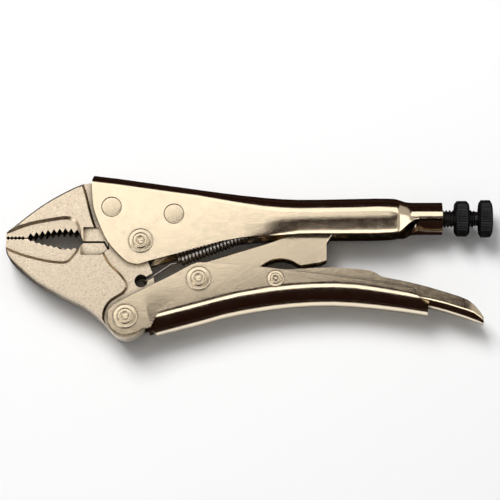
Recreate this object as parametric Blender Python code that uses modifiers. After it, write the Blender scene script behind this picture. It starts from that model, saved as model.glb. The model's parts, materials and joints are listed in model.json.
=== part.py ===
"""Locking pliers with curved jaws, a wire cutter, a toggle link and a release lever.

The tool lies flat: jaws toward -X, adjusting screw toward +X, fixed handle toward +Y, +Z up.
Every piece is drawn in millimetres about the tool's own middle plane, and place() puts it
in the world, so that the lowest rivet head rests on Z = 0.
"""

import math

import bmesh
import bpy
from mathutils import Matrix, Vector

MM = 0.001

# Driving dimensions, in millimetres.
MID_HEIGHT = 7.6  # middle plane above the floor, which is also how far the rivet heads reach
CENTRE_Y = 0.605  # moves the drawing so that the bounding box is centred on Y = 0
SHEET = 1.8  # steel sheet of both handles
HALF_WIDTH = 6.55  # outer half width of both handles
JAW_HALF = 5.4  # half thickness of both jaws in front of the handles
NECK_HALF = 4.4  # half thickness of both jaws between the handles' sides
LAND_HALF = 4.5  # half thickness at the teeth
LINK_HALF = 3.2  # half thickness of the toggle link
LEVER_HALF = 4.0  # outer half width of the release lever
LEVER_SHEET = 1.3
CLEARANCE = 0.3  # gap between pieces that touch on the real tool

JAW_PIVOT = (-31.3, 3.65)  # lower jaw on the fixed handle
HANDLE_PIVOT = (-35.6, -18.15)  # moving handle on the lower jaw
LINK_PIVOT = (-14.7, -7.25)  # toggle link on the moving handle
LEVER_PIVOT = (7.3, -7.3)  # release lever on the moving handle
HEEL = (23.8, 10.8)  # end of the toggle link, which bears on the screw
HEEL_RADIUS = 2.6
HUB_RADIUS = 9.2  # lower jaw's hub, inside the fixed handle
SPRING_HOLE = (-31.2, -7.7)
FRONT_RIVET = (-39.7, 13.5)
REAR_RIVET = (-21.8, 11.5)
SPRING_PIN = (3.6, 8.9)

SCREW_Y = 11.1  # height of the screw's axis in the drawing
SCREW_RADIUS = 2.55
THREAD_PITCH = 1.0
THREAD_DEPTH = 0.4
SCREW_TIP_X = 28.2  # leaves the heel room to swing past
TUBE_START_X, TUBE_END_X = 48.5, 55.4
TUBE_RADIUS = 4.7
NUT_X = (59.0, 63.2)
KNOB_X = (66.0, 70.0)

COARSE_PITCH, FINE_PITCH = 1.67, 1.05

TOOL = None  # collection of the finished pieces
CUTTERS = None  # collection of the solids that only cut


def clear_scene():
    for obj in list(bpy.data.objects):
        bpy.data.objects.remove(obj, do_unlink=True)


def make_collections():
    global TOOL, CUTTERS
    TOOL = bpy.data.collections.new("locking_pliers")
    CUTTERS = bpy.data.collections.new("cutters")
    for collection in (TOOL, CUTTERS):
        bpy.context.scene.collection.children.link(collection)


def place(x, y, z=0.0):
    """A point of the drawing, in world metres."""
    return Vector((x, y + CENTRE_Y, z + MID_HEIGHT)) * MM


def material(name, colour, roughness, metallic=1.0):
    mat = bpy.data.materials.new(name)
    mat.use_nodes = True
    shader = mat.node_tree.nodes["Principled BSDF"]
    shader.inputs["Base Color"].default_value = (*colour, 1.0)
    shader.inputs["Roughness"].default_value = roughness
    shader.inputs["Metallic"].default_value = metallic
    mat.diffuse_color = (*colour, 1.0)
    return mat


def finish(obj, colour, roughness, pivot=None, metallic=1.0):
    """Link a piece into the tool, give it its material and put its origin on its joint."""
    TOOL.objects.link(obj)
    obj.data.materials.clear()
    obj.data.materials.append(material(obj.name, colour, roughness, metallic))
    if pivot is not None:
        origin = place(*pivot)
        obj.data.transform(Matrix.Translation(-origin))
        obj.location = origin
    return obj


def mesh_object(name, verts, faces):
    mesh = bpy.data.meshes.new(name)
    mesh.from_pydata([tuple(v) for v in verts], [], faces)
    mesh.update()
    return bpy.data.objects.new(name, mesh)


def face_outward(obj):
    bm = bmesh.new()
    bm.from_mesh(obj.data)
    bmesh.ops.remove_doubles(bm, verts=bm.verts, dist=1e-6)
    bmesh.ops.recalc_face_normals(bm, faces=bm.faces)
    bm.to_mesh(obj.data)
    bm.free()


# ---------------------------------------------------------------- outlines

def curve_through(points, steps=3):
    """Catmull-Rom curve through the points, as a list of points."""
    out = []
    last = len(points) - 1
    for i in range(last):
        p0 = Vector(points[max(i - 1, 0)])
        p1 = Vector(points[i])
        p2 = Vector(points[i + 1])
        p3 = Vector(points[min(i + 2, last)])
        for k in range(steps):
            t = k / steps
            out.append(tuple(0.5 * (2 * p1 + (p2 - p0) * t
                                    + (2 * p0 - 5 * p1 + 4 * p2 - p3) * t * t
                                    + (3 * p1 - p0 - 3 * p2 + p3) * t ** 3)))
    out.append(tuple(points[-1]))
    return out


def arc(centre, radius, start, end, steps=12):
    """Points on a circle, angles in degrees, both ends included."""
    out = []
    for k in range(steps + 1):
        a = math.radians(start + (end - start) * k / steps)
        out.append((centre[0] + radius * math.cos(a), centre[1] + radius * math.sin(a)))
    return out


def circle(centre, radius, steps=24):
    return arc(centre, radius, 0, 360, steps)[:-1]


def arch(left, top, right, steps=8):
    """Arc through three points."""
    ax, ay = left
    bx, by = top
    cx, cy = right
    d = 2 * (ax * (by - cy) + bx * (cy - ay) + cx * (ay - by))
    a2, b2, c2 = ax * ax + ay * ay, bx * bx + by * by, cx * cx + cy * cy
    ux = (a2 * (by - cy) + b2 * (cy - ay) + c2 * (ay - by)) / d
    uy = (a2 * (cx - bx) + b2 * (ax - cx) + c2 * (bx - ax)) / d
    radius = math.hypot(ax - ux, ay - uy)
    start = math.degrees(math.atan2(ay - uy, ax - ux))
    end = math.degrees(math.atan2(cy - uy, cx - ux))
    middle = math.degrees(math.atan2(by - uy, bx - ux))
    if not min(start, end) < middle < max(start, end):
        end += 360 if end < start else -360
    return arc((ux, uy), radius, start, end, steps)


def value_at(points, x):
    """Height of a smooth edge at x."""
    line = curve_through(points, 6)
    if x <= line[0][0]:
        return line[0][1]
    for (x0, y0), (x1, y1) in zip(line, line[1:]):
        if x0 <= x <= x1:
            return y0 + (y1 - y0) * (x - x0) / (x1 - x0)
    return line[-1][1]


def toothed(edge, start, end, pitch, depth):
    """Sharp teeth on a smooth edge from x = start to end, roots depth away from the crests."""
    count = round((end - start) / pitch)
    out = []
    for i in range(count + 1):
        x = start + (end - start) * i / count
        out.append((x, value_at(edge, x)))
        if i < count:
            x += (end - start) / count / 2
            out.append((x, value_at(edge, x) + depth))
    return out


# ---------------------------------------------------------------- solids

def slab(name, loops, low, high, chamfer=0.0, round_steps=0):
    """A flat plate between two heights: its outline, then any holes."""
    curve = bpy.data.curves.new(name, "CURVE")
    curve.dimensions = "2D"
    curve.fill_mode = "BOTH"
    curve.extrude = ((high - low) / 2 - chamfer) * MM
    curve.bevel_depth = chamfer * MM
    curve.bevel_resolution = round_steps
    curve.offset = -chamfer * MM
    for loop in loops:
        spline = curve.splines.new("POLY")
        spline.points.add(len(loop) - 1)
        for point, (x, y) in zip(spline.points, loop):
            world = place(x, y)
            point.co = (world.x, world.y, 0.0, 1.0)
        spline.use_cyclic_u = True
    source = bpy.data.objects.new(name + "_outline", curve)
    CUTTERS.objects.link(source)
    bpy.context.view_layer.update()
    depsgraph = bpy.context.evaluated_depsgraph_get()
    mesh = bpy.data.meshes.new_from_object(source.evaluated_get(depsgraph))
    bpy.data.objects.remove(source, do_unlink=True)
    bpy.data.curves.remove(curve)
    mesh.transform(Matrix.Translation((0, 0, ((low + high) / 2 + MID_HEIGHT) * MM)))
    mesh.name = name
    obj = bpy.data.objects.new(name, mesh)
    face_outward(obj)
    return obj


def cut(target, cutter, operation="DIFFERENCE"):
    """Boolean that stays live; the cutter goes into the cutters' collection."""
    CUTTERS.objects.link(cutter)
    cutter.hide_render = True
    cutter.display_type = "WIRE"
    modifier = target.modifiers.new(cutter.name, "BOOLEAN")
    modifier.operation = operation
    modifier.solver = "EXACT"
    modifier.object = cutter


def cut_both_faces(target, name, outline, half, slope):
    """Thin a plate to the given half thickness within the outline, on both faces."""
    for side, label in ((1, "top"), (-1, "bottom")):
        low, high = sorted((side * half, side * (half + 3.5)))
        cut(target, slab(f"{name}_{label}", [outline], low, high, slope))


def cut_hole(target, name, centre, radius, reach=20.0):
    cut(target, slab(name, [circle(centre, radius)], -reach, reach))


def turned_upright(name, centre, upper, lower=None, steps=24):
    """Pin turned about a vertical axis: (radius, height) rows of its upper half, axis first.

    The lower half mirrors the upper one unless it has rows of its own, waist first.
    """
    profile = list(upper) + list(lower or [(r, -z) for r, z in reversed(upper)])
    verts = [Vector((r, 0, z)) * MM for r, z in profile]
    mesh = bpy.data.meshes.new(name)
    mesh.from_pydata(verts, [(i, i + 1) for i in range(len(verts) - 1)], [])
    obj = bpy.data.objects.new(name, mesh)
    obj.location = place(*centre)
    screw = obj.modifiers.new("turn", "SCREW")
    screw.axis = "Z"
    screw.steps = steps
    screw.render_steps = steps
    screw.use_merge_vertices = True
    screw.merge_threshold = 0.00001
    screw.use_smooth_shade = True
    return obj


def turned_along_x(name, profile, steps, knurl=0.0):
    """Solid turned about the screw's axis; rows are (x, radius, knurled)."""
    verts, rings, faces = [], [], []
    for x, radius, knurled in profile:
        if radius == 0:
            rings.append([len(verts)])
            verts.append(place(x, SCREW_Y))
            continue
        ring = []
        for k in range(steps):
            a = 2 * math.pi * k / steps
            r = radius - knurl if knurled and k % 2 else radius
            ring.append(len(verts))
            verts.append(place(x, SCREW_Y + r * math.cos(a), r * math.sin(a)))
        rings.append(ring)
    closed = profile[0][1] != 0
    pairs = list(zip(rings, rings[1:] + (rings[:1] if closed else [])))
    if not closed:
        pairs = list(zip(rings, rings[1:]))
    for a, b in pairs:
        for k in range(steps):
            n = (k + 1) % steps
            if len(a) == 1:
                faces.append((a[0], b[k], b[n]))
            elif len(b) == 1:
                faces.append((a[k], b[0], a[n]))
            else:
                faces.append((a[k], b[k], b[n], a[n]))
    obj = mesh_object(name, verts, faces)
    face_outward(obj)
    return obj


def wire(name, points, radius, resolution=1):
    """Round wire along a list of drawing points."""
    curve = bpy.data.curves.new(name, "CURVE")
    curve.dimensions = "3D"
    curve.bevel_depth = radius * MM
    curve.bevel_resolution = resolution
    curve.use_fill_caps = True
    spline = curve.splines.new("POLY")
    spline.points.add(len(points) - 1)
    for point, (x, y, z) in zip(spline.points, points):
        point.co = (*place(x, y, z), 1.0)
    source = bpy.data.objects.new(name + "_path", curve)
    CUTTERS.objects.link(source)
    bpy.context.view_layer.update()
    depsgraph = bpy.context.evaluated_depsgraph_get()
    mesh = bpy.data.meshes.new_from_object(source.evaluated_get(depsgraph))
    bpy.data.objects.remove(source, do_unlink=True)
    bpy.data.curves.remove(curve)
    mesh.name = name
    obj = bpy.data.objects.new(name, mesh)
    face_outward(obj)
    return obj


def inner_row(row, sheet, side):
    """The row set back by the sheet's thickness, in its own cross-section."""
    out = []
    last = len(row) - 1
    for i, (x, y, z) in enumerate(row):
        before = Vector(row[i][1:]) - Vector(row[max(i - 1, 0)][1:])
        after = Vector(row[min(i + 1, last)][1:]) - Vector(row[i][1:])
        if i == 0:
            before = after
        if i == last:
            after = before
        along = (before.normalized() + after.normalized()).normalized()
        reach = sheet / max(along.dot(after.normalized()), 0.5)
        out.append((x, y + side * along.y * reach, z - side * along.x * reach))
    return out


def channel(name, rows, sheet):
    """Bent sheet: rows of (x, y, z) points on its outside, thickened inward."""
    count = len(rows[0])
    opens_down = rows[0][1][1] > rows[0][0][1]
    side = 1 if opens_down else -1
    verts, faces = [], []
    for row in rows:
        loop = list(row) + inner_row(row, sheet, side)[::-1]
        verts.extend(place(*point) for point in loop)
    size = 2 * count
    for i in range(len(rows) - 1):
        for k in range(size):
            n = (k + 1) % size
            faces.append((i * size + k, i * size + n, (i + 1) * size + n, (i + 1) * size + k))
    for base in (0, (len(rows) - 1) * size):
        for k in range(count - 1):
            m = size - 1 - k
            faces.append((base + k, base + k + 1, base + m - 1, base + m))
    obj = mesh_object(name, verts, faces)
    face_outward(obj)
    return obj


def u_profile(x, back, edge, half, radius, lean=0.0, flat_steps=4, corner_steps=4, back_steps=2):
    """One cross-section of a U-shaped channel, from the upper edge round its back to the lower.

    back is the outer height of the closed side and edge the height of the open side. lean
    draws the sides together toward the open side, gently and then sharply at its edge.
    """
    toward = 1.0 if edge > back else -1.0
    depth = abs(edge - back)
    flat = []
    for k in range(flat_steps):
        t = (k / flat_steps) ** 1.5
        bend = max(0.0, 0.75 - t) / 0.75
        inward = 0.5 * (math.hypot(bend, 0.1) - 0.1) + 0.22 * bend ** 10
        flat.append((depth + (radius - depth) * t, half - lean * inward))
    flat.append((radius + 0.12 * (depth - radius), half))
    corner = []
    for k in range(corner_steps + 1):
        a = math.pi / 2 * k / corner_steps
        corner.append((radius - radius * math.sin(a), half - radius + radius * math.cos(a)))
    web = []
    for k in range(1, back_steps):
        web.append((0.0, (half - radius) * (1 - 2 * k / back_steps)))
    side = flat + corner
    points = side + web + [(s, -z) for s, z in reversed(side)]
    return [(x, back + toward * s, z) for s, z in points]


def roll(a, b, t):
    """Blend two cross-sections by angle and radius about the screw's axis."""
    out = []
    for (x, y0, z0), (_, y1, z1) in zip(a, b):
        polar = []
        for y, z in ((y0 - SCREW_Y, z0), (y1 - SCREW_Y, z1)):
            angle = math.degrees(math.atan2(y, z))
            polar.append((angle + 360 if angle < -90 else angle, math.hypot(y, z)))
        (a0, r0), (a1, r1) = polar
        if a1 < a0 - 60:
            a1 += 360
        angle = math.radians(a0 + (a1 - a0) * t ** 1.5)
        radius = r0 + (r1 - r0) * (1 - (1 - t) ** 2)
        out.append((x, SCREW_Y + radius * math.sin(angle), radius * math.cos(angle)))
    return out


def smoothstep(x, low, high):
    t = min(max((x - low) / (high - low), 0.0), 1.0)
    return t * t * (3 - 2 * t)


# ---------------------------------------------------------------- fixed handle and its pieces

UPPER_BACK = [(-47.0, 23.3), (-44.9, 23.0), (-36.9, 22.0), (-21.3, 19.8), (-8.7, 18.1), (2.7, 16.9),
              (9.2, 16.4), (15.5, 16.2), (28.0, 16.4), (37.4, 16.6), (42.1, 16.4), (45.2, 15.95),
              (48.5, 15.8), (55.4, 15.8)]
UPPER_EDGE = [(-33.0, -2.8), (-32.1, -2.8), (-29.4, -2.25), (-25.6, -1.4), (-21.1, 0.0), (-15.0, 1.8),
              (-8.7, 3.5), (-2.5, 4.65), (2.7, 5.1), (12.4, 5.5), (24.9, 5.5), (38.0, 5.6),
              (44.0, 6.2), (48.5, 6.6), (55.4, 6.6)]
HEAD_FRONT = [(-44.1, 24.5), (-44.8, 22.8), (-45.4, 20.8), (-45.2, 17.0), (-44.7, 12.9), (-42.9, 8.0), (-40.7, 3.5),
              (-37.6, -0.1), (-34.9, -2.4), (-32.1, -3.0)]


def tube_profile(x, count_flat, count_corner, count_web):
    """The handle's sheet rolled round the screw, its seam at mid height on the upper side."""
    seam, gap = -8.0, 7.0
    angles = [seam + (20 - seam) * k / count_flat for k in range(count_flat)]
    angles += [20 + 50 * k / count_corner for k in range(count_corner + 1)]
    angles += [70 + 40 * k / count_web for k in range(1, count_web)]
    angles += [110 + 50 * k / count_corner for k in range(count_corner + 1)]
    far = 360 + seam - gap
    angles += [160 + (far - 160) * (k + 1) / count_flat for k in range(count_flat)]
    out = []
    for a in angles:
        a = math.radians(a)
        out.append((x, SCREW_Y + TUBE_RADIUS * math.sin(a), TUBE_RADIUS * math.cos(a)))
    return out


def upper_handle():
    flat, corner, web = 9, 7, 2
    stations = [-47.0, -44.0, -38, -30, -22, -15, -8, -2, 4, 9, 14, 19, 25, 31, 36, 40, 42,
                43.2, 44.4, 45.5, 46.6, 47.7, 48.8, 50.5, 53, 55.4]
    rows = []
    for x in stations:
        grip = smoothstep(x, 2.0, 16.0) * (1 - smoothstep(x, 41.0, 45.5))
        edge = -6.0 if x < -32 else value_at(UPPER_EDGE, x)
        u = u_profile(x, value_at(UPPER_BACK, x), edge, HALF_WIDTH,
                      2.9 + 1.4 * smoothstep(x, -18.0, 8.0), grip, flat, corner, web)
        rows.append(roll(u, tube_profile(x, flat + 1, corner, web), smoothstep(x, 41.8, 48.8)))
    obj = channel("upper_handle", rows, SHEET)
    front = curve_through(HEAD_FRONT, 3) + [(-30.5, -2.6), (-30.5, -9.0), (-52.0, -9.0), (-52.0, 24.5)]
    cut(obj, slab("head_front", [front], -10, 10))
    cut_hole(obj, "handle_pivot_hole", JAW_PIVOT, 2.8)
    cut_hole(obj, "handle_front_hole", FRONT_RIVET, 2.95)
    cut_hole(obj, "handle_rear_hole", REAR_RIVET, 2.95)
    return finish(obj, (0.78, 0.70, 0.58), 0.22)


UPPER_CREST = [(-64.6, 4.85), (-63.0, 5.0), (-59.0, 5.75), (-55.6, 6.2), (-52.2, 6.4), (-48.9, 5.9)]
LOWER_CREST = [(-64.6, 4.5), (-63.4, 4.4), (-60.3, 3.3), (-56.8, 2.5), (-53.5, 1.85), (-50.4, 1.8),
               (-48.2, 2.6)]


def upper_jaw():
    top = curve_through([(-70.0, 4.6), (-69.7, 6.4), (-67.6, 8.1), (-63.8, 11.2), (-59.9, 14.1),
                         (-56.4, 16.3), (-52.4, 18.5), (-48.4, 20.3), (-45.8, 20.7)], 3)
    inside = [(-36.9, 19.7), (-21.3, 17.6), (-17.4, 17.0), (-16.6, 8.4), (-21.5, 6.9), (-30.0, 3.0),
              (-42.0, -1.5), (-69.9, 0.5)]
    obj = slab("upper_jaw", [top + inside], -JAW_HALF, JAW_HALF, 0.9, 1)
    mouth = [(-72.0, -6.0), (-72.0, 4.85)]
    mouth += toothed([(-69.9, 4.85), (-64.6, 4.85)], -69.9, -64.6, FINE_PITCH, 0.45)
    mouth += toothed(UPPER_CREST, -63.8, -48.8, COARSE_PITCH, 1.25)
    mouth += [(-47.8, 3.9), (-41.7, 3.9)]
    mouth += arc(JAW_PIVOT, HUB_RADIUS + CLEARANCE, 189, 14, 20)
    mouth += [(-20.5, 4.5), (-20.5, -6.0)]
    cut(obj, slab("upper_mouth", [mouth], -10, 10))
    land = curve_through([(-68.9, 7.2), (-63.4, 9.2), (-56.8, 10.5), (-52.4, 11.0), (-50.2, 10.3),
                          (-49.0, 8.8), (-48.4, 6.5)], 3)
    cut_both_faces(obj, "upper_tooth_land", [(-73.0, 5.6)] + land + [(-48.2, 1.0), (-73.0, 1.0)],
                   LAND_HALF, 0.88)
    neck = curve_through([(-49.3, 22.0), (-47.9, 18.5), (-46.6, 13.5), (-45.3, 9.0), (-43.6, 5.0),
                          (-42.0, 1.0)], 3)
    cut_both_faces(obj, "upper_neck", neck + [(-10.0, 1.0), (-10.0, 22.0)], NECK_HALF, 0.7)
    cut_both_faces(obj, "upper_cutter_land", [(-47.8, 1.0), (-47.8, 7.8), (-43.4, 7.8), (-41.0, 4.6),
                                              (-39.5, 1.0)], NECK_HALF - 0.3, 0.25)
    cut_hole(obj, "upper_jaw_front_hole", FRONT_RIVET, 2.95)
    cut_hole(obj, "upper_jaw_rear_hole", REAR_RIVET, 2.95)
    return finish(obj, (0.72, 0.66, 0.56), 0.42)


def lower_jaw():
    under = curve_through([(-70.0, 3.9), (-69.8, 0.3), (-67.8, -2.4), (-62.3, -7.1), (-59.0, -9.2),
                           (-52.4, -12.7), (-47.4, -15.1), (-42.5, -18.9), (-38.6, -23.1),
                           (-35.6, -24.2)], 3)
    tail = arc(HANDLE_PIVOT, 6.05, -85, 18, 8)
    back = [(-28.3, -11.5), (-27.4, -8.2), (-27.7, -6.1), (-29.2, -2.2), (-24.6, 1.0)]
    hub = arc(JAW_PIVOT, HUB_RADIUS, 8, 165, 18)
    front = [(-44.0, 6.4), (-69.9, 6.4)]
    obj = slab("lower_jaw", [under + tail + back + hub + front], -JAW_HALF, JAW_HALF, 0.9, 1)
    mouth = [(-72.0, 9.0), (-72.0, 4.5)]
    mouth += toothed([(-69.9, 4.5), (-64.6, 4.5)], -69.9, -64.6, FINE_PITCH, -0.3)
    mouth += toothed(LOWER_CREST, -63.8, -48.8, COARSE_PITCH, -0.5)
    mouth += [(-47.8, 3.3), (-41.95, 3.3), (-41.0, 1.6), (-40.6, 1.3)]
    mouth += arc(JAW_PIVOT, HUB_RADIUS, 193, 160, 6) + [(-42.0, 9.0)]
    cut(obj, slab("lower_mouth", [mouth], -10, 10))
    land = curve_through([(-70.0, 1.2), (-65.6, -0.6), (-59.0, -2.3), (-53.9, -2.9), (-51.7, -2.3),
                          (-50.2, -0.6), (-49.1, 0.9), (-48.4, 3.0)], 3)
    cut_both_faces(obj, "lower_tooth_land", [(-73.0, 2.2)] + land + [(-48.2, 8.0), (-73.0, 8.0)],
                   LAND_HALF, 0.88)
    neck = curve_through([(-44.4, 4.5), (-42.6, 0.6), (-40.6, -3.0), (-37.4, -6.2), (-35.6, -9.0),
                          (-36.6, -11.0)], 3)
    neck += arc(HANDLE_PIVOT, 6.7, 115, 225, 8) + [(-41.0, -28.0), (-15.0, -28.0), (-15.0, 16.0)]
    cut_both_faces(obj, "lower_neck", neck + [(-44.4, 16.0)], NECK_HALF, 0.7)
    cut_both_faces(obj, "lower_cutter_land", [(-48.6, 8.0), (-48.6, -0.3), (-42.9, -0.3), (-40.6, 1.6),
                                              (-41.7, 3.4), (-42.0, 8.0)], NECK_HALF - 0.3, 0.25)
    cut_hole(obj, "lower_jaw_pivot_hole", JAW_PIVOT, 2.8)
    cut_hole(obj, "lower_jaw_tail_hole", HANDLE_PIVOT, 2.8)
    cut_hole(obj, "lower_jaw_spring_hole", SPRING_HOLE, 1.9)
    slot = [(-30.6, -8.3), (-26.0, -5.8), (-26.5, -4.7), (-31.2, -7.2)]
    cut(obj, slab("lower_jaw_spring_slot", [slot], -0.8, 10))
    return finish(obj, (0.72, 0.66, 0.56), 0.42, JAW_PIVOT)


# ---------------------------------------------------------------- moving handle and its pieces

LOWER_EDGE = [(-41.0, -15.6), (-39.1, -14.9), (-36.8, -13.6), (-30.7, -10.45), (-21.3, -5.8),
              (-16.6, -3.2), (-13.8, -2.6), (-3.0, -3.4), (4.3, -4.0), (11.7, -5.0), (23.4, -6.5),
              (35.2, -8.1), (43.1, -9.5), (51.5, -11.2)]
LOWER_BACK = [(-29.5, -23.9), (-26.3, -23.0), (-15.0, -20.1), (-5.6, -17.6), (5.2, -15.7),
              (13.5, -14.8), (22.9, -14.4), (32.3, -14.9), (43.1, -16.1), (51.5, -17.4)]


def lower_handle():
    stations = [-29.0, -26.3, -22, -18, -15, -12, -8, -3, 2, 7, 12, 18, 24, 30, 36, 42, 47, 51.2]
    rows = []
    for x in stations:
        back, edge = value_at(LOWER_BACK, x), value_at(LOWER_EDGE, x)
        radius = min(HALF_WIDTH - 0.2, edge - back - 1.0)
        rows.append(u_profile(x, back, edge, HALF_WIDTH, radius, 0.0, 2, 11, 2))
    obj = channel("lower_handle", rows, SHEET)
    rim = [(x, y - 0.03) for x, y in curve_through(LOWER_EDGE[1:7], 3)]
    ear = rim + [(-13.5, -8.0), (-20.0, -11.0), (-25.5, -15.6), (-28.4, -21.3), (-30.7, -21.5),
                 (-32.3, -22.5)]
    ear += arc(HANDLE_PIVOT, 5.15, -60, -140, 6) + [(-40.5, -19.5), (-40.5, -16.5)]
    for side, label in ((1, "top"), (-1, "bottom")):
        low, high = sorted((side * (HALF_WIDTH - SHEET + 0.02), side * (HALF_WIDTH - 0.02)))
        cut(obj, slab(f"handle_ear_{label}", [ear], low, high), "UNION")
    end = [(45.6, -9.0), (46.8, -11.0), (49.6, -14.0), (50.9, -15.4), (50.8, -20.0), (56.0, -20.0),
           (56.0, -9.0)]
    cut(obj, slab("handle_end", [end], -10, 10))
    throat = [(-29.6, -21.2), (-28.4, -21.3), (-26.2, -23.4), (-26.2, -26.0), (-32.0, -26.0)]
    cut(obj, slab("handle_throat", [throat], -4.0, 4.0))
    cut_hole(obj, "handle_tail_hole", HANDLE_PIVOT, 2.8)
    cut_hole(obj, "handle_link_hole", LINK_PIVOT, 2.8)
    cut_hole(obj, "handle_lever_hole", LEVER_PIVOT, 2.0)
    return finish(obj, (0.78, 0.70, 0.58), 0.22, HANDLE_PIVOT)


def toggle_link():
    top = curve_through([(-14.8, -2.5), (-9.0, -0.75), (-3.0, 1.1), (4.3, 3.3), (9.5, 5.2), (14.0, 7.2),
                         (19.0, 10.2), (21.6, 12.3)], 2)
    heel = arc(HEEL, HEEL_RADIUS, 125, -50, 10)
    rear = [(23.9, 6.2), (23.2, 5.2), (22.1, 3.4), (22.1, -1.5), (20.5, -2.3), (14.6, -3.2)]
    notch = arch((13.7, -2.8), (9.2, -1.2), (3.4, -3.2))
    nose = [(0.5, -6.0), (-5.0, -9.5), (-11.0, -11.2)] + arc(LINK_PIVOT, 4.6, -60, -255, 12)
    obj = slab("toggle_link", [top + heel + rear + notch + nose], -LINK_HALF, LINK_HALF, 0.35, 1)
    cut_hole(obj, "link_hole", LINK_PIVOT, 2.8)
    return finish(obj, (0.76, 0.69, 0.58), 0.34, LINK_PIVOT)


LEVER_EDGE = [(3.9, -5.2), (6.0, -4.5), (10.8, -4.25), (17.6, -3.9), (23.4, -3.7), (29.3, -3.95),
              (33.8, -4.5), (35.8, -5.1), (37.6, -6.3), (43.1, -7.4), (50.6, -9.2), (57.2, -11.2),
              (61.6, -12.7), (63.8, -14.1), (65.6, -16.0), (66.9, -18.0)]
LEVER_BACK = [(3.9, -10.2), (8.0, -11.0), (20.0, -11.6), (32.3, -12.4), (43.1, -13.6), (51.5, -15.0),
              (57.2, -16.5), (62.7, -18.3), (67.0, -19.8)]


def release_lever():
    stations = [3.9, 6, 9, 13, 18, 23.4, 28, 32, 34.5, 36, 37.5, 40, 44, 48, 52, 56, 60, 62.5, 64.3,
                65.8, 66.9]
    rows = []
    for x in stations:
        narrow = smoothstep(x, 62.0, 67.5)
        half = LEVER_HALF - 1.0 * narrow
        back, edge = value_at(LEVER_BACK, x), value_at(LEVER_EDGE, x)
        radius = min(2.6, 0.62 * (edge - back), half - 0.3)
        rows.append(u_profile(x, back, edge, half, radius, 0.0, 1, 7, 2))
    obj = channel("release_lever", rows, LEVER_SHEET)
    cut_hole(obj, "lever_hole", LEVER_PIVOT, 2.0)
    return finish(obj, (0.70, 0.63, 0.53), 0.26, LEVER_PIVOT)


# ---------------------------------------------------------------- rivets, spacers, spring

def headed_rivet(name, centre, head, boss, shank):
    """Rivet with a flat rim and a raised boss at both ends, the upper boss dimpled by the riveting."""
    under, top = HALF_WIDTH + 0.2, MID_HEIGHT
    rim = [(1.1 * boss, top - 0.3), (0.9 * head, top - 0.36), (head, top - 0.55), (head, under),
           (shank, under), (shank, 0.5)]
    upper = [(0.0, top - 0.35), (0.45 * boss, top - 0.26), (0.62 * boss, top), (0.95 * boss, top)] + rim
    lower = [(r, -z) for r, z in reversed([(0.0, top), (0.95 * boss, top)] + rim)]
    return finish(turned_upright(name, centre, upper, lower, 32), (0.80, 0.74, 0.64), 0.24)


def jaw_rivet(name, centre):
    """Rivet that holds the fixed jaw: flush above, with a low head below."""
    flush, under, low = HALF_WIDTH - 0.05, -(HALF_WIDTH + 0.2), -MID_HEIGHT
    upper = [(0.0, flush), (2.45, flush), (2.65, flush - 0.25)]
    lower = [(2.65, under), (3.4, under), (3.4, low + 0.45), (2.7, low), (0.0, low)]
    return finish(turned_upright(name, centre, upper, lower), (0.78, 0.71, 0.60), 0.3)


def spacer(name, low, high):
    obj = slab(name, [circle(LINK_PIVOT, 4.3), circle(LINK_PIVOT, 2.8)], low, high)
    return finish(obj, (0.45, 0.42, 0.38), 0.4)


def jaw_spring():
    """Extension spring: bent end in the jaw, straight wire, coil, hook round the pin."""
    wire_radius, coil_radius, pitch = 0.37, 1.75, 1.05
    start, end = Vector((-20.6, -1.2, 0)), Vector((-0.6, 6.65, 0))
    axis = (end - start).normalized()
    side = Vector((-axis.y, axis.x, 0))
    up = Vector((0, 0, 1))
    points = [Vector((-30.4, -7.35, -2.4)), Vector((-30.4, -7.35, -0.6)), Vector((-30.1, -7.2, -0.1)),
              Vector((-29.4, -6.85, 0)), Vector((-22.6, -3.1, 0)), Vector((-21.9, -2.7, 0)),
              Vector((-21.3, -2.9, 0))]
    turns = int((end - start).length / pitch)
    per_turn = 10
    for k in range(turns * per_turn + 1):
        a = 2 * math.pi * k / per_turn
        along = start + axis * (pitch * k / per_turn)
        points.append(along - side * coil_radius * math.cos(a) + up * coil_radius * math.sin(a))
    pin = Vector((*SPRING_PIN, 0))
    last = start + axis * (pitch * turns)
    points.append(last + axis * 0.55 - side * 1.3)
    first = math.degrees(math.atan2(-0.9, -1.2))
    for x, y in arc(SPRING_PIN, 1.62, first, first + 250, 9):
        points.append(Vector((x, y, 0)))
    obj = wire("jaw_spring", [tuple(p) for p in points], wire_radius)
    return finish(obj, (0.10, 0.095, 0.09), 0.35)


def spring_pin():
    half_profile = [(0.0, 4.45), (0.7, 4.45), (0.9, 4.25), (0.9, 0.5)]
    return finish(turned_upright("spring_pin", SPRING_PIN, half_profile), (0.5, 0.47, 0.42), 0.4)


# ---------------------------------------------------------------- screw, lock nut, knob

def adjusting_screw():
    root = SCREW_RADIUS - THREAD_DEPTH
    profile = [(SCREW_TIP_X, 0, False), (SCREW_TIP_X + 0.15, 1.0, False),
               (SCREW_TIP_X + 0.7, 1.8, False), (SCREW_TIP_X + 1.4, root, False)]
    x = SCREW_TIP_X + 1.9
    while x < 65.2:
        profile.append((x, SCREW_RADIUS, False))
        profile.append((x + THREAD_PITCH / 2, root, False))
        x += THREAD_PITCH
    profile += [(66.2, root, False), (68.4, root, False), (68.4, 0, False)]
    obj = turned_along_x("adjusting_screw", profile, 16)
    return finish(obj, (0.05, 0.045, 0.04), 0.35, (SCREW_TIP_X, SCREW_Y))


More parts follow.
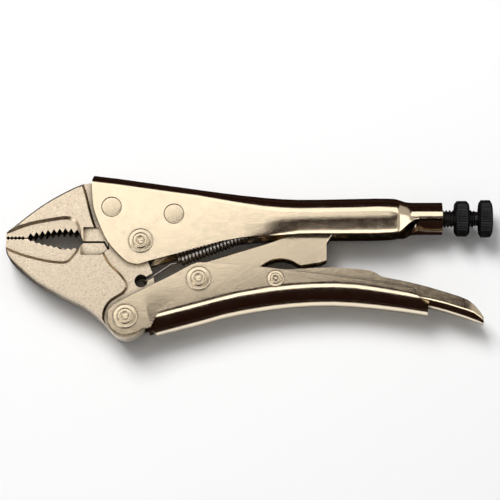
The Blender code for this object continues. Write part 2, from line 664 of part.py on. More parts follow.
def lock_nut():
    a, b = NUT_X
    bore = SCREW_RADIUS + CLEARANCE
    profile = [(a, bore, False), (a, 4.4, False), (a + 0.6, 5.0, False), (a + 0.75, 5.15, True),
               (b - 0.75, 5.15, True), (b - 0.6, 5.0, False), (b, 4.4, False), (b, bore, False)]
    obj = turned_along_x("lock_nut", profile, 56, 0.28)
    return finish(obj, (0.05, 0.045, 0.04), 0.4, (a, SCREW_Y))


def screw_knob():
    a, b = KNOB_X
    bore = SCREW_RADIUS + CLEARANCE
    profile = [(b, 0, False), (b - 0.02, 2.0, False), (b - 0.15, 4.2, False), (b - 0.5, 5.0, False),
               (b - 0.8, 5.4, True), (a + 0.7, 5.4, True), (a + 0.45, 5.0, False), (a, 4.6, False),
               (a, bore, False), (b - 1.2, bore, False), (b - 1.2, 0, False)]
    obj = turned_along_x("screw_knob", profile, 56, 0.28)
    return finish(obj, (0.05, 0.045, 0.04), 0.4, (a, SCREW_Y))


def main():
    clear_scene()
    make_collections()
    upper_handle()
    upper_jaw()
    jaw_rivet("jaw_rivet_front", FRONT_RIVET)
    jaw_rivet("jaw_rivet_rear", REAR_RIVET)
    lower_jaw()
    headed_rivet("jaw_pivot_rivet", JAW_PIVOT, 3.5, 2.0, 2.5)
    lower_handle()
    headed_rivet("handle_rivet", HANDLE_PIVOT, 3.5, 2.1, 2.5)
    toggle_link()
    headed_rivet("link_rivet", LINK_PIVOT, 3.5, 2.0, 2.5)
    spacer("link_spacer_top", LINK_HALF + 0.25, HALF_WIDTH - SHEET - 0.25)
    spacer("link_spacer_bottom", -(HALF_WIDTH - SHEET - 0.25), -(LINK_HALF + 0.25))
    release_lever()
    headed_rivet("lever_rivet", LEVER_PIVOT, 2.4, 1.5, 1.7)
    spring_pin()
    jaw_spring()
    adjusting_screw()
    lock_nut()
    screw_knob()


main()
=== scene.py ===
"""Locking pliers: finished pieces and studio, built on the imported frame.

Run as a script in Blender. The frame's solids give every place and size; the operators
below refine their edges, cut the screw's real thread and knurls, and give each piece
its finish.
"""

import json
import math

import bmesh
import bpy
from bpy.props import FloatProperty, FloatVectorProperty, IntProperty, PointerProperty
from bpy.types import Operator, Panel, PropertyGroup
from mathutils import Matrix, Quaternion, Vector

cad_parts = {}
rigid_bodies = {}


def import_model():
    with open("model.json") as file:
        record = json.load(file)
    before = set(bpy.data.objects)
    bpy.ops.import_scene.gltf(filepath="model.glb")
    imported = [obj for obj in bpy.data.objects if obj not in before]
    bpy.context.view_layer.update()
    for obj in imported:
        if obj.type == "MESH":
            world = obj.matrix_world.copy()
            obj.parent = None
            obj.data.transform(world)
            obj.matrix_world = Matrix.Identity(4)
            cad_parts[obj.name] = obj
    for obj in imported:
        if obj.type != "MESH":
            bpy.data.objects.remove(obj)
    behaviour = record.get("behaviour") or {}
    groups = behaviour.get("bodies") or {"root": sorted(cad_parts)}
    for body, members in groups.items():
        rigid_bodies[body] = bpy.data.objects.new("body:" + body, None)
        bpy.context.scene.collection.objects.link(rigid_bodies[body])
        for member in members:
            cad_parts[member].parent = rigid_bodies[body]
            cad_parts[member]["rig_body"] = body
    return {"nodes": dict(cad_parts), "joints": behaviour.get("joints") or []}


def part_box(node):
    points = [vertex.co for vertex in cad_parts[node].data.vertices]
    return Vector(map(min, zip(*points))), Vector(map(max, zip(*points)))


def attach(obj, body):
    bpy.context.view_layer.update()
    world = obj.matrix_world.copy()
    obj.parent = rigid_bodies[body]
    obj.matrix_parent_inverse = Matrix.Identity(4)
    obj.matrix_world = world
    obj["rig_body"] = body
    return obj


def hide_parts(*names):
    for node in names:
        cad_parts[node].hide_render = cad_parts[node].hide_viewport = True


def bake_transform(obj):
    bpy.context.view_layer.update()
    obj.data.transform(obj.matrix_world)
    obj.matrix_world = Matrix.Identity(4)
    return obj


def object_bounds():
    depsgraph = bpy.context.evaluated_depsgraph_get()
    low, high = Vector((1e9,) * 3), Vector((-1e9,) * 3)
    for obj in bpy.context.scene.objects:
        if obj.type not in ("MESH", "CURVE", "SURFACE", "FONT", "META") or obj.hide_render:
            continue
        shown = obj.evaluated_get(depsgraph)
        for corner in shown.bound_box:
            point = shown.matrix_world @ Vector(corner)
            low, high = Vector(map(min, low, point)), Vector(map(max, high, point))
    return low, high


bl_info = {
    "name": "Locking pliers",
    "version": (1, 0, 0),
    "blender": (4, 5, 0),
    "location": "3D View > Sidebar > Pliers",
    "description": "Builds the finished pieces of a pair of locking pliers and their studio",
    "category": "Object",
}

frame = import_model()
CAD_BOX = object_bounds()
NODES = frame["nodes"]
JOINTS = {joint["name"]: joint for joint in frame["joints"]}
SCREW_AXIS = Vector(JOINTS["knob_turn"]["pos_m"])

SHARP_EDGE = math.radians(32)  # edges sharper than this are rounded
FLAT_EDGE = math.radians(0.08)  # faces that meet flatter than this are merged
SAME_POINT = 2e-6  # points nearer than this are one
MID_HEIGHT = 0.0076  # height of the tool's middle plane
HEAD_UNDER = 0.00675  # from the middle plane to the underside of the rivets' heads
BORE = 0.00285  # radius of the holes in the lock nut and the knob
MIRRORED_DARK = (0.012, 0.004, 0.003)  # the dark surroundings that the plate mirrors


# ---------------------------------------------------------------- settings

class FinishSettings(PropertyGroup):
    """Colours and polish of the pliers' finishes."""

    plate: FloatVectorProperty(name="Nickel plate", description="Colour of the plated sheet",
                               subtype="COLOR", size=3, default=(0.95, 0.79, 0.565), min=0, max=1)
    forged: FloatVectorProperty(name="Forged nickel", description="Colour of the forged jaws",
                                subtype="COLOR", size=3, default=(0.95, 0.79, 0.59), min=0, max=1)
    oxide: FloatVectorProperty(name="Black oxide", description="Colour of the screw, nut and knob",
                               subtype="COLOR", size=3, default=(0.005, 0.0045, 0.0045), min=0, max=1)
    spring: FloatVectorProperty(name="Spring steel", description="Colour of the spring's wire",
                                subtype="COLOR", size=3, default=(0.6, 0.56, 0.52), min=0, max=1)
    plate_roughness: FloatProperty(name="Plate roughness", description="Roughness of plated sheet",
                                   subtype="FACTOR", default=0.135, min=0, max=1)


class EdgeSettings(PropertyGroup):
    """Widths of the rounded edges."""

    sheet: FloatProperty(name="Sheet edge", description="Rounding of the cut edges of sheet",
                         subtype="DISTANCE", default=0.00035, min=0, max=0.002)
    forged: FloatProperty(name="Forged edge", description="Rounding of the jaws' sharp edges",
                          subtype="DISTANCE", default=0.00018, min=0, max=0.002)
    turned: FloatProperty(name="Turned edge", description="Rounding of rivets and turned pieces",
                          subtype="DISTANCE", default=0.00012, min=0, max=0.001)


class ScrewSettings(PropertyGroup):
    """Sizes of the screw's thread and knurls."""

    pitch: FloatProperty(name="Thread pitch", description="Travel of the screw in one turn",
                         subtype="DISTANCE", default=0.001, min=0.0005, max=0.002)
    depth: FloatProperty(name="Thread depth", description="Height of the thread over its root",
                         subtype="DISTANCE", default=0.0005, min=0.0001, max=0.001)
    knurls: IntProperty(name="Knurls", description="Ridges round the knob and the lock nut",
                        default=44, min=12, max=90)


class SpringSettings(PropertyGroup):
    """Sizes of the jaw spring."""

    wire: FloatProperty(name="Wire", description="Radius of the wire", subtype="DISTANCE",
                        default=0.00037, min=0.0001, max=0.001)
    radius: FloatProperty(name="Coil", description="Radius of the coil, to the middle of the wire",
                          subtype="DISTANCE", default=0.00175, min=0.0005, max=0.003)
    pitch: FloatProperty(name="Coil pitch", description="Distance from one turn to the next",
                         subtype="DISTANCE", default=0.00105, min=0.0004, max=0.004)


class StudioSettings(PropertyGroup):
    """Camera, floor and lights."""

    elevation: FloatProperty(name="Elevation", description="Angle of the view above the floor",
                             subtype="ANGLE", default=math.radians(81), min=0, max=math.pi / 2)
    distance: FloatProperty(name="Distance", description="Camera to the tool", subtype="DISTANCE",
                            default=0.8, min=0.2, max=5)
    width: FloatProperty(name="Width", description="Width that the view takes in at the tool",
                         subtype="DISTANCE", default=0.1442, min=0.05, max=1)
    floor: FloatVectorProperty(name="Floor", description="Colour of the floor", subtype="COLOR",
                               size=3, default=(0.93, 0.93, 0.93), min=0, max=1)
    key: FloatProperty(name="Key light", description="Power of the light that casts the shadow",
                       subtype="POWER", default=17.0, min=0, max=200)
    box: FloatProperty(name="Softbox", description="Power of the softbox that the plate reflects",
                       subtype="POWER", default=3.0, min=0, max=200)
    card: FloatProperty(name="Cards", description="Power of the cards that light up small slopes",
                        subtype="POWER", default=1.0, min=0, max=200)


# ---------------------------------------------------------------- materials

def new_material(name):
    mat = bpy.data.materials.new(name)
    mat.use_nodes = True
    return mat, mat.node_tree, mat.node_tree.nodes["Principled BSDF"]


def add(tree, kind, **values):
    """A node with its properties and unlinked inputs set."""
    node = tree.nodes.new(kind)
    for key, value in values.items():
        if hasattr(node, key):
            setattr(node, key, value)
        else:
            node.inputs[key.replace("_", " ")].default_value = value
    return node


def noise(tree, scale, detail=2.0, roughness=0.5):
    """Noise in the frame's metres."""
    place = tree.nodes.new("ShaderNodeTexCoord")
    node = add(tree, "ShaderNodeTexNoise", Scale=scale, Detail=detail, Roughness=roughness)
    tree.links.new(place.outputs["Object"], node.inputs["Vector"])
    return node.outputs["Fac"]


def ramp(tree, source, *stops):
    """Colour ramp with (position, grey or colour) stops."""
    node = tree.nodes.new("ShaderNodeValToRGB")
    elements = node.color_ramp.elements
    while len(elements) < len(stops):
        elements.new(0.5)
    for element, (position, value) in zip(elements, stops):
        element.position = position
        colour = (value,) * 3 if isinstance(value, (int, float)) else tuple(value)
        element.color = (*colour, 1.0)
    tree.links.new(source, node.inputs["Fac"])
    return node.outputs["Color"]


def bump(tree, heights, shader):
    """Chain of bumps from (height source, distance in metres, strength)."""
    normal = None
    for source, distance, strength in heights:
        node = add(tree, "ShaderNodeBump", Strength=strength, Distance=distance)
        tree.links.new(source, node.inputs["Height"])
        if normal:
            tree.links.new(normal, node.inputs["Normal"])
        normal = node.outputs["Normal"]
    tree.links.new(normal, shader.inputs["Normal"])


def painted_crevice_shade(tree, colour, reach=0.002):
    """The colour darkened by painted shade where occlusion falls: in grooves and at the foot of
    steps.
    """
    # painted shade: ambient occlusion scales the base colour down near walls and in hollows
    nook = add(tree, "ShaderNodeAmbientOcclusion", samples=8, Distance=reach)
    fade = add(tree, "ShaderNodeMapRange")
    for name, value in (("From Min", 0.45), ("From Max", 0.92), ("To Min", 0.1), ("To Max", 1.0)):
        fade.inputs[name].default_value = value
    tree.links.new(nook.outputs["AO"], fade.inputs["Value"])
    scaled = add(tree, "ShaderNodeVectorMath", operation="SCALE")
    tree.links.new(colour, scaled.inputs["Vector"])
    tree.links.new(fade.outputs["Result"], scaled.inputs["Scale"])
    return scaled.outputs["Vector"]


def tone(colour, factor):
    return tuple(min(1.0, c * factor) for c in colour)


def plated_steel(name, colour, roughness, orange_peel=0.5):
    """Warm nickel plate: bright metal, faint clouds, scuffs and orange peel, with painted shade in
    its grooves.
    """
    mat, tree, shader = new_material(name)
    shader.inputs["Metallic"].default_value = 1.0
    clouds = noise(tree, 90.0, 3.0, 0.55)
    clouded = ramp(tree, clouds, (0.3, tone(colour, 0.96)), (0.7, tone(colour, 1.03)))
    # painted shade: the plate's colour is darkened in grooves and at the foot of steps
    tree.links.new(painted_crevice_shade(tree, clouded), shader.inputs["Base Color"])
    scuffs = noise(tree, 420.0, 4.0, 0.65)
    tree.links.new(ramp(tree, scuffs, (0.35, roughness * 0.85), (0.62, roughness * 1.15),
                        (0.8, roughness * 1.7)), shader.inputs["Roughness"])
    bump(tree, [(noise(tree, 3200.0, 2.0, 0.6), 0.000014, orange_peel),
                (noise(tree, 700.0, 2.0, 0.5), 0.00001, orange_peel)], shader)
    return mat


def forged_nickel(name, colour):
    """Forged and plated: satin, with the grain of the die and fine pits, and painted shade in its
    grooves.
    """
    mat, tree, shader = new_material(name)
    shader.inputs["Metallic"].default_value = 1.0
    grain = noise(tree, 1900.0, 3.0, 0.7)
    grained = ramp(tree, grain, (0.32, tone(colour, 0.7)), (0.48, colour),
                   (0.7, tone(colour, 1.1)))
    # painted shade: the grain colour is darkened in grooves and at the foot of steps
    tree.links.new(painted_crevice_shade(tree, grained), shader.inputs["Base Color"])
    tree.links.new(ramp(tree, noise(tree, 500.0, 3.0), (0.3, 0.25), (0.7, 0.36)),
                   shader.inputs["Roughness"])
    bump(tree, [(noise(tree, 1300.0, 4.0, 0.65), 0.00004, 0.7),
                (noise(tree, 3200.0, 2.0, 0.6), 0.00001, 0.7)], shader)
    return mat


def black_oxide(name, colour):
    """Blackened steel with a faint oily gloss, worn paler where it is rubbed."""
    mat, tree, shader = new_material(name)
    shader.inputs["Metallic"].default_value = 0.0
    shader.inputs["IOR"].default_value = 1.5
    wear = noise(tree, 700.0, 4.0, 0.6)
    tree.links.new(ramp(tree, wear, (0.45, colour), (0.8, tone(colour, 2.2))),
                   shader.inputs["Base Color"])
    tree.links.new(ramp(tree, noise(tree, 900.0, 3.0), (0.3, 0.16), (0.7, 0.3)),
                   shader.inputs["Roughness"])
    bump(tree, [(noise(tree, 2200.0, 2.0, 0.6), 0.00001, 0.4)], shader)
    return mat


def drawn_wire(name, colour):
    """Spring steel, drawn, with a soft sheen."""
    mat, tree, shader = new_material(name)
    shader.inputs["Metallic"].default_value = 1.0
    streaks = noise(tree, 1200.0, 3.0)
    tree.links.new(ramp(tree, streaks, (0.3, tone(colour, 0.8)), (0.7, tone(colour, 1.1))),
                   shader.inputs["Base Color"])
    tree.links.new(ramp(tree, noise(tree, 1600.0, 2.0), (0.3, 0.2), (0.7, 0.3)),
                   shader.inputs["Roughness"])
    bump(tree, [(noise(tree, 2400.0, 2.0, 0.5), 0.00001, 0.3)], shader)
    return mat


# ---------------------------------------------------------------- shared mesh work

def link_piece(obj, mat, node):
    """Put a finished piece in the scene in place of its solid, on the solid's body."""
    bpy.context.scene.collection.objects.link(obj)
    obj.data.materials.clear()
    obj.data.materials.append(mat)
    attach(obj, NODES[node]["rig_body"])
    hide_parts(node)
    return obj


def round_edges(obj, width):
    """Round every sharp edge and keep the flats flat."""
    rounding = obj.modifiers.new("edge rounding", "BEVEL")
    rounding.width = width
    rounding.segments = 2
    rounding.limit_method = "ANGLE"
    rounding.angle_limit = SHARP_EDGE
    rounding.use_clamp_overlap = True
    rounding.miter_outer = "MITER_ARC"
    flats = obj.modifiers.new("flat faces", "WEIGHTED_NORMAL")
    flats.keep_sharp = True
    flats.weight = 50


def refined(node, name, width):
    """Copy of a frame solid with merged flats, smooth curves and rounded edges."""
    mesh = NODES[node].data.copy()
    mesh.name = name
    bm = bmesh.new()
    bm.from_mesh(mesh)
    bmesh.ops.remove_doubles(bm, verts=bm.verts, dist=SAME_POINT)
    bmesh.ops.dissolve_limit(bm, angle_limit=FLAT_EDGE, verts=bm.verts, edges=bm.edges)
    bm.to_mesh(mesh)
    bm.free()
    mesh.shade_smooth()
    obj = bpy.data.objects.new(name, mesh)
    round_edges(obj, width)
    return obj


def grid_mesh(name, rings, closed_ends=True):
    """Skin over rings of points with as many points each, capped or else joined end to end."""
    size = len(rings[0])
    last = (len(rings) - 1) * size
    verts = [point for ring in rings for point in ring]
    faces = [(i * size + k, i * size + (k + 1) % size, (i + 1) * size + (k + 1) % size,
              (i + 1) * size + k) for i in range(len(rings) - 1) for k in range(size)]
    if closed_ends:
        faces += [tuple(range(size))[::-1], tuple(last + k for k in range(size))]
    else:
        faces += [(last + k, last + (k + 1) % size, (k + 1) % size, k) for k in range(size)]
    mesh = bpy.data.meshes.new(name)
    mesh.from_pydata(verts, [], faces)
    bm = bmesh.new()
    bm.from_mesh(mesh)
    bmesh.ops.recalc_face_normals(bm, faces=bm.faces)
    bm.to_mesh(mesh)
    bm.free()
    mesh.shade_smooth()
    return mesh


def turned(name, rows, steps, closed_ends=True):
    """Solid turned about the screw's axis.

    Rows are (x, radius); a radius may be a function of the angle.
    """
    rings = []
    for x, radius in rows:
        ring = []
        for k in range(steps):
            a = 2 * math.pi * k / steps
            r = radius(a) if callable(radius) else radius
            ring.append((x, SCREW_AXIS.y + r * math.cos(a), SCREW_AXIS.z + r * math.sin(a)))
        rings.append(ring)
    return bpy.data.objects.new(name, grid_mesh(name, rings, closed_ends))


def swept(name, points, radius, sides=10):
    """Round wire along the points, its section carried along without twist."""
    points = [Vector(p) for p in points]
    across = Vector((0.8, -0.6, 0.0))
    rings = []
    for i, point in enumerate(points):
        along = (points[min(i + 1, len(points) - 1)] - points[max(i - 1, 0)]).normalized()
        across = (across - along * across.dot(along)).normalized()
        side = along.cross(across)
        rings.append([point + radius * (across * math.cos(a) + side * math.sin(a))
                      for a in (2 * math.pi * k / sides for k in range(sides))])
    return bpy.data.objects.new(name, grid_mesh(name, rings))


def finish_settings():
    return bpy.context.scene.pliers_finish


def edge_settings():
    return bpy.context.scene.pliers_edges


# ---------------------------------------------------------------- pieces

class PLIERS_OT_handles(Operator):
    """Finish the two sheet handles and the release lever in polished nickel plate"""

    bl_idname = "pliers.handles"
    bl_label = "Handles and release lever"

    def execute(self, context):
        finish, edges = finish_settings(), edge_settings()
        plate = plated_steel("polished nickel plate", finish.plate, finish.plate_roughness)
        for node, name in (("upper_handle", "fixed_handle"), ("lower_handle", "moving_handle"),
                           ("release_lever", "release_lever_finished")):
            link_piece(refined(node, name, edges.sheet), plate, node)
        return {"FINISHED"}


class PLIERS_OT_jaws(Operator):
    """Finish the two forged jaws"""

    bl_idname = "pliers.jaws"
    bl_label = "Jaws"

    def execute(self, context):
        finish, edges = finish_settings(), edge_settings()
        forged = forged_nickel("forged nickel", finish.forged)
        for node, name in (("upper_jaw", "fixed_jaw"), ("lower_jaw", "moving_jaw")):
            link_piece(refined(node, name, edges.forged), forged, node)
        return {"FINISHED"}


class PLIERS_OT_link(Operator):
    """Finish the toggle link and its spacers"""

    bl_idname = "pliers.toggle_link"
    bl_label = "Toggle link"

    def execute(self, context):
        finish, edges = finish_settings(), edge_settings()
        pressed = plated_steel("satin nickel plate", finish.plate, 0.22, 0.6)
        link_piece(refined("toggle_link", "link_plate", edges.forged), pressed, "toggle_link")
        for node in ("link_spacer_top", "link_spacer_bottom", "spring_pin"):
            link_piece(refined(node, node + "_finished", edges.turned), pressed, node)
        return {"FINISHED"}


class PLIERS_OT_rivets(Operator):
    """Turn the rivets: four with a rim, a raised ring and a domed middle, two flush"""

    bl_idname = "pliers.rivets"
    bl_label = "Rivets"

    def execute(self, context):
        plate = plated_steel("rivet plate", finish_settings().plate, 0.26, 0.3)
        for node in ("jaw_pivot_rivet", "handle_rivet", "link_rivet", "lever_rivet"):
            link_piece(self.rivet(node, self.headed(node)), plate, node)
        for node in ("jaw_rivet_front", "jaw_rivet_rear"):
            link_piece(self.rivet(node, self.flush(node)), plate, node)
        return {"FINISHED"}

    def headed(self, node):
        """Rows of (radius, height above the middle) from the top's middle to the bottom's."""
        low, high = (Vector(corner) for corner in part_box(node))
        head, top = (high.x - low.x) / 2, (high.z - low.z) / 2
        k = head / 0.0035
        upper = [(0.0, 0.00012), (0.0002, 0.000125), (0.0005, 0.00018), (0.0008, 0.00028),
                 (0.00102, 0.00034), (0.00112, 0.0003), (0.0012, 0.00008), (0.00128, 0.00001),
                 (0.00145, 0.0), (0.0019, 0.0), (0.00204, 0.00004), (0.00214, 0.00012),
                 (0.00222, 0.00044), (0.0023, 0.00052), (0.00242, 0.00054), (0.0031, 0.00056),
                 (0.0033, 0.0006), (0.00342, 0.00068), (0.0035, 0.00082)]
        rows = [(r * k, top - drop) for r, drop in upper]
        rows += [(head, HEAD_UNDER + 0.00004), (head - 0.00004, HEAD_UNDER),
                 (head * 0.71, HEAD_UNDER)]
        return rows + [(r, -z) for r, z in reversed(rows)]

    def flush(self, node):
        """Rows for a rivet that is flush above and has a low head below."""
        low, high = (Vector(corner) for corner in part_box(node))
        head, bottom = (high.x - low.x) / 2, (high.z - low.z) / 2
        centre = (high.z + low.z) / 2
        top = high.z - centre
        under = MID_HEIGHT - HEAD_UNDER - centre
        return [(0.0, top + 0.00002), (0.0022, top + 0.00002), (0.0025, top),
                (0.00272, top - 0.00003), (0.00284, top - 0.0001), (0.0029, top - 0.0003),
                (0.0029, top - 0.0015), (0.00265, top - 0.0019), (0.00265, under),
                (head - 0.00005, under), (head, under - 0.00005), (head, -bottom + 0.0006),
                (head - 0.00012, -bottom + 0.00025), (head - 0.0004, -bottom + 0.00005),
                (head - 0.0008, -bottom), (0.0, -bottom)]

    def rivet(self, node, rows, steps=72):
        """The rows turned about the rivet's own upright axis."""
        low, high = (Vector(corner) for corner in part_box(node))
        centre = (low + high) / 2
        rings = [[centre + Vector((max(r, 1e-6) * math.cos(a), max(r, 1e-6) * math.sin(a), z))
                  for a in (2 * math.pi * k / steps for k in range(steps))] for r, z in rows]
        return bpy.data.objects.new(node + "_finished", grid_mesh(node + "_finished", rings))


class PLIERS_OT_spring(Operator):
    """Wind the jaw spring: bent end in the moving jaw, coil, hook round the pin"""

    bl_idname = "pliers.jaw_spring"
    bl_label = "Jaw spring"

    def execute(self, context):
        coil = context.scene.pliers_spring
        low, high = (Vector(corner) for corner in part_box("jaw_spring"))
        pin = sum((Vector(corner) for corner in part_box("spring_pin")), Vector()) / 2
        level = pin.z
        near = Vector((low.x + 0.0101, low.y + 0.0067, level))
        far = pin + Vector((-0.0042, -0.00225, 0))
        axis = (far - near).normalized()
        side = Vector((-axis.y, axis.x, 0))
        up = Vector((0, 0, 1))
        foot = Vector((low.x + coil.wire, low.y + 0.00055, level))
        points = [foot - 0.0024 * up, foot - 0.0007 * up, foot + Vector((0.0003, 0.00015, -0.0001)),
                  foot + Vector((0.001, 0.0005, 0)), near - 0.0022 * axis - 0.0003 * side,
                  near - 0.0012 * axis - 0.0006 * side]
        length, steps = (far - near).length, 28
        last = round(length / coil.pitch) * steps
        for k in range(last + 1):
            a = 2 * math.pi * k / steps
            radius = coil.radius * min(1.0, 0.35 + k / steps, 0.35 + (last - k) / steps)
            points.append(near + axis * (length * k / last)
                          - side * radius * math.cos(a) + up * radius * math.sin(a))
        hook_radius, hook_start, hook_turn, hook_steps = 0.00162, math.atan2(-0.9, -1.2), 250, 24
        for k in range(hook_steps + 1):
            a = hook_start + math.radians(hook_turn) * k / hook_steps
            points.append(pin + hook_radius * Vector((math.cos(a), math.sin(a), 0)))
        obj = swept("jaw_spring_wire", points, coil.wire)
        wire = drawn_wire("spring steel", finish_settings().spring)
        context.scene.collection.objects.link(obj)
        obj.data.materials.append(wire)
        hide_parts("jaw_spring")
        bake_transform(obj)
        return {"FINISHED"}


class PLIERS_OT_screw(Operator):
    """Cut the adjusting screw's thread and the knurls of its lock nut and knob"""

    bl_idname = "pliers.adjusting_screw"
    bl_label = "Adjusting screw, lock nut and knob"

    def execute(self, context):
        cut = context.scene.pliers_screw
        oxide = black_oxide("black oxide", finish_settings().oxide)
        for obj, node in ((self.screw(cut), "adjusting_screw"), (self.nut(cut), "lock_nut"),
                          (self.knob(cut), "screw_knob")):
            link_piece(obj, oxide, node)
        return {"FINISHED"}

    def screw(self, cut):
        """A right hand thread, run out to a rounded tip in front and a plain neck behind."""
        low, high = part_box("adjusting_screw")
        crest = (high[2] - low[2]) / 2
        root = crest - cut.depth
        tip, neck, end = low[0], high[0] - 0.0032, high[0]

        def thread(x):
            fade = min(1.0, max(0.0, (x - tip - 0.0008) / 0.0012),
                       max(0.0, (neck - x) / 0.001))

            def radius(a):
                phase = ((x - tip) / cut.pitch + a / (2 * math.pi)) % 1.0
                ridge = min(1.0, max(0.0, 1.25 - 2.5 * abs(phase - 0.5) * 1.3))
                return root + cut.depth * ridge * fade
            return radius

        rows = [(tip, 0.0006), (tip + 0.00012, 0.0011), (tip + 0.0005, 0.0017)]
        start = tip + 0.001
        count = round((neck - start) / cut.pitch * 10)
        places = [start + (neck - start) * i / count for i in range(count + 1)]
        rows += [(x, thread(x)) for x in places]
        rows += [(end - 0.0001, root), (end, root - 0.0001)]
        return turned("adjusting_screw_threaded", rows, 40)

    def knurl(self, radius, cut, fade=1.0, depth=0.00028):
        """Radius by angle over the ridges; fade thins them toward the ends."""
        def wave(a):
            return radius - fade * depth * (0.5 - 0.5 * math.cos(a * cut.knurls)) ** 0.7
        return wave

    def nut(self, cut):
        low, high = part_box("lock_nut")
        a, b, r = low[0], high[0], (high[2] - low[2]) / 2
        rows = [(a, BORE), (a, r - 0.0009), (a + 0.0001, r - 0.00072), (a + 0.0006, r - 0.00018),
                (a + 0.0007, self.knurl(r, cut, 0.5)), (a + 0.00095, self.knurl(r, cut)),
                (b - 0.00095, self.knurl(r, cut)), (b - 0.0007, self.knurl(r, cut, 0.5)),
                (b - 0.0006, r - 0.00018), (b - 0.0001, r - 0.00072), (b, r - 0.0009), (b, BORE)]
        return turned("lock_nut_knurled", rows, cut.knurls * 6, closed_ends=False)

    def knob(self, cut):
        low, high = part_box("screw_knob")
        a, b, r = low[0], high[0], (high[2] - low[2]) / 2
        rows = [(b - 0.0012, 0.00001), (b - 0.0012, BORE), (a, BORE), (a, r - 0.001),
                (a + 0.0001, r - 0.0007), (a + 0.00045, r - 0.0003),
                (a + 0.0006, self.knurl(r, cut, 0.5)), (a + 0.0008, self.knurl(r, cut)),
                (b - 0.00095, self.knurl(r, cut)), (b - 0.0007, self.knurl(r - 0.0001, cut, 0.5)),
                (b - 0.0005, r - 0.0004), (b - 0.00025, r - 0.0008), (b - 0.0001, r - 0.0014),
                (b, r - 0.0025), (b, 0.00001)]
        return turned("screw_knob_knurled", rows, cut.knurls * 6)


# ---------------------------------------------------------------- studio

def area_light(name, place, aim, size, power, glossy=True, diffuse=True, turn=0.0):
    """Rectangular light; glossy and diffuse say whether it shows in reflections and on the floor."""
    data = bpy.data.lights.new(name, "AREA")
    data.shape = "RECTANGLE"
    data.size, data.size_y = size
    data.energy = power
    obj = bpy.data.objects.new(name, data)
    obj.location = place
    facing = (Vector(aim) - Vector(place)).to_track_quat("-Z", "Y")
    obj.rotation_euler = (Quaternion((0, 0, 1), turn) @ facing).to_euler()
    obj.visible_glossy = glossy
    obj.visible_diffuse = diffuse
    bpy.context.scene.collection.objects.link(obj)


def by_glossy(tree, direct, mirrored):
    """One colour for what the camera and the light see, another for what shiny pieces mirror."""
    path = tree.nodes.new("ShaderNodeLightPath")
    mix = add(tree, "ShaderNodeMix", data_type="RGBA")
    tree.links.new(path.outputs["Is Glossy Ray"], mix.inputs["Factor"])
    colours = [socket for socket in mix.inputs if socket.type == "RGBA"]
    for socket, value in zip(colours, (direct, mirrored)):
        if isinstance(value, tuple):
            socket.default_value = value
        else:
            tree.links.new(value, socket)
    return [socket for socket in mix.outputs if socket.type == "RGBA"][0]


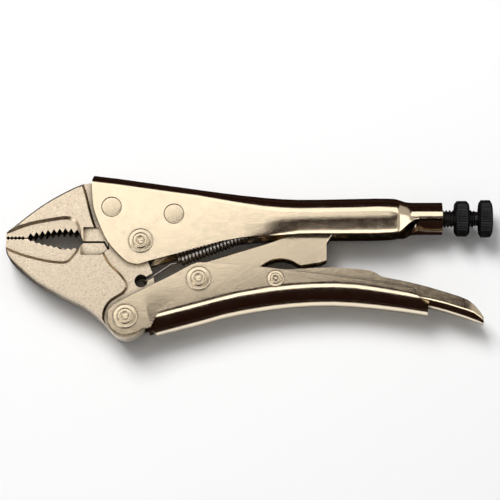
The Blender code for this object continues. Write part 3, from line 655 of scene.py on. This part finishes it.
class PLIERS_OT_studio(Operator):
    """Set up the pale floor, the soft lights and the camera"""

    bl_idname = "pliers.studio"
    bl_label = "Studio"

    def execute(self, context):
        studio = context.scene.pliers_studio
        self.floor(studio.floor)
        self.world(context.scene)
        target = Vector((0.0, 0.00258, CAD_BOX[1][2] / 2))
        area_light("key", (-0.42, 0.7, 1.2), target, (0.62, 0.62), studio.key, glossy=False)
        area_light("softbox", (0.0, 0.45, 1.0), target, (1.3, 0.6), studio.box,
                   turn=math.radians(18))
        area_light("strip", (0.0, -0.24, 1.0), target, (0.9, 0.28), studio.box * 0.4,
                   diffuse=False)
        area_light("side card", (0.9, -0.05, 0.6), target, (0.6, 0.6), studio.card * 1.2,
                   diffuse=False)
        area_light("low card", (-0.6, -0.6, 0.3), target, (0.5, 0.5), studio.card, diffuse=False)
        self.camera(context.scene, studio, target)
        context.scene.view_settings.view_transform = "Standard"
        return {"FINISHED"}

    def floor(self, colour):
        """Pale floor; the plate mirrors a bright band of it in front of the tool, dark beyond."""
        bm = bmesh.new()
        bmesh.ops.create_grid(bm, x_segments=1, y_segments=1, size=3.0)
        mesh = bpy.data.meshes.new("floor")
        bm.to_mesh(mesh)
        bm.free()
        obj = bpy.data.objects.new("floor", mesh)
        mat, tree, shader = new_material("pale floor")
        pale = ramp(tree, noise(tree, 3.0), (0.3, tone(colour, 0.99)), (0.7, tuple(colour)))
        place = tree.nodes.new("ShaderNodeTexCoord")
        split = tree.nodes.new("ShaderNodeSeparateXYZ")
        tree.links.new(place.outputs["Object"], split.inputs["Vector"])
        reach = add(tree, "ShaderNodeMapRange")
        reach.inputs["From Min"].default_value = -0.2  # the ramp runs over 0.2 m in front
        reach.inputs["From Max"].default_value = 0.0
        tree.links.new(split.outputs["Y"], reach.inputs["Value"])
        dark, light = MIRRORED_DARK, (0.92, 0.95, 1.0)
        mirrored = ramp(tree, reach.outputs["Result"], (0.79, dark), (0.83, light), (0.9, light),
                        (0.96, dark))
        tree.links.new(by_glossy(tree, pale, mirrored), shader.inputs["Base Color"])
        shader.inputs["Roughness"].default_value = 0.9
        shader.inputs["Specular IOR Level"].default_value = 0.1
        mesh.materials.append(mat)
        bpy.context.scene.collection.objects.link(obj)

    def world(self, scene):
        """Soft fill for the floor; what the plate mirrors is dark along Y and pale to the sides."""
        world = bpy.data.worlds.new("studio")
        world.use_nodes = True
        tree = world.node_tree
        back = tree.nodes["Background"]
        split = tree.nodes.new("ShaderNodeSeparateXYZ")
        place = tree.nodes.new("ShaderNodeTexCoord")
        tree.links.new(place.outputs["Generated"], split.inputs["Vector"])
        sizes = []
        for axis in ("X", "Y"):
            size = add(tree, "ShaderNodeMath", operation="ABSOLUTE")
            tree.links.new(split.outputs[axis], size.inputs[0])
            sizes.append(size.outputs[0])
        aside = add(tree, "ShaderNodeMath", operation="MULTIPLY_ADD")
        aside.inputs[1].default_value = -0.45  # the share of Y taken off X
        tree.links.new(sizes[1], aside.inputs[0])
        tree.links.new(sizes[0], aside.inputs[2])
        mirrored = ramp(tree, aside.outputs[0], (0.16, MIRRORED_DARK), (0.34, (0.42, 0.41, 0.4)))
        tree.links.new(by_glossy(tree, (0.25, 0.25, 0.25, 1), mirrored), back.inputs["Color"])
        scene.world = world

    def camera(self, scene, studio, target):
        """Camera that looks down at the tool from the front."""
        data = bpy.data.cameras.new("camera")
        data.type = "PERSP"
        data.sensor_width = 36.0
        data.lens = data.sensor_width * studio.distance / studio.width
        data.clip_start, data.clip_end = 0.01, 20.0
        obj = bpy.data.objects.new("camera", data)
        up = studio.elevation
        obj.location = target + studio.distance * Vector((0, -math.cos(up), math.sin(up)))
        obj.rotation_euler = (target - obj.location).to_track_quat("-Z", "Y").to_euler()
        scene.collection.objects.link(obj)
        scene.camera = obj


# ---------------------------------------------------------------- panel and registration

OPERATORS = (PLIERS_OT_handles, PLIERS_OT_jaws, PLIERS_OT_link, PLIERS_OT_rivets, PLIERS_OT_spring,
             PLIERS_OT_screw, PLIERS_OT_studio)
SETTINGS = (("pliers_finish", FinishSettings), ("pliers_edges", EdgeSettings),
            ("pliers_screw", ScrewSettings), ("pliers_spring", SpringSettings),
            ("pliers_studio", StudioSettings))


class PLIERS_PT_sidebar(Panel):
    """Settings and build steps of the pliers"""

    bl_label = "Locking pliers"
    bl_space_type = "VIEW_3D"
    bl_region_type = "UI"
    bl_category = "Pliers"

    def draw(self, context):
        for name, group in SETTINGS:
            box = self.layout.box()
            settings = getattr(context.scene, name)
            for prop in group.__annotations__:
                box.prop(settings, prop)
        for operator in OPERATORS:
            self.layout.operator(operator.bl_idname)


def register():
    for name, group in SETTINGS:
        bpy.utils.register_class(group)
        setattr(bpy.types.Scene, name, PointerProperty(type=group))
    for cls in (*OPERATORS, PLIERS_PT_sidebar):
        bpy.utils.register_class(cls)


def unregister():
    for cls in (PLIERS_PT_sidebar, *reversed(OPERATORS)):
        bpy.utils.unregister_class(cls)
    for name, group in reversed(SETTINGS):
        delattr(bpy.types.Scene, name)
        bpy.utils.unregister_class(group)


def main():
    register()
    bpy.ops.pliers.handles()
    bpy.ops.pliers.jaws()
    bpy.ops.pliers.toggle_link()
    bpy.ops.pliers.rivets()
    bpy.ops.pliers.jaw_spring()
    bpy.ops.pliers.adjusting_screw()
    bpy.ops.pliers.studio()
    bpy.context.view_layer.update()


if __name__ == "__main__":
    main()
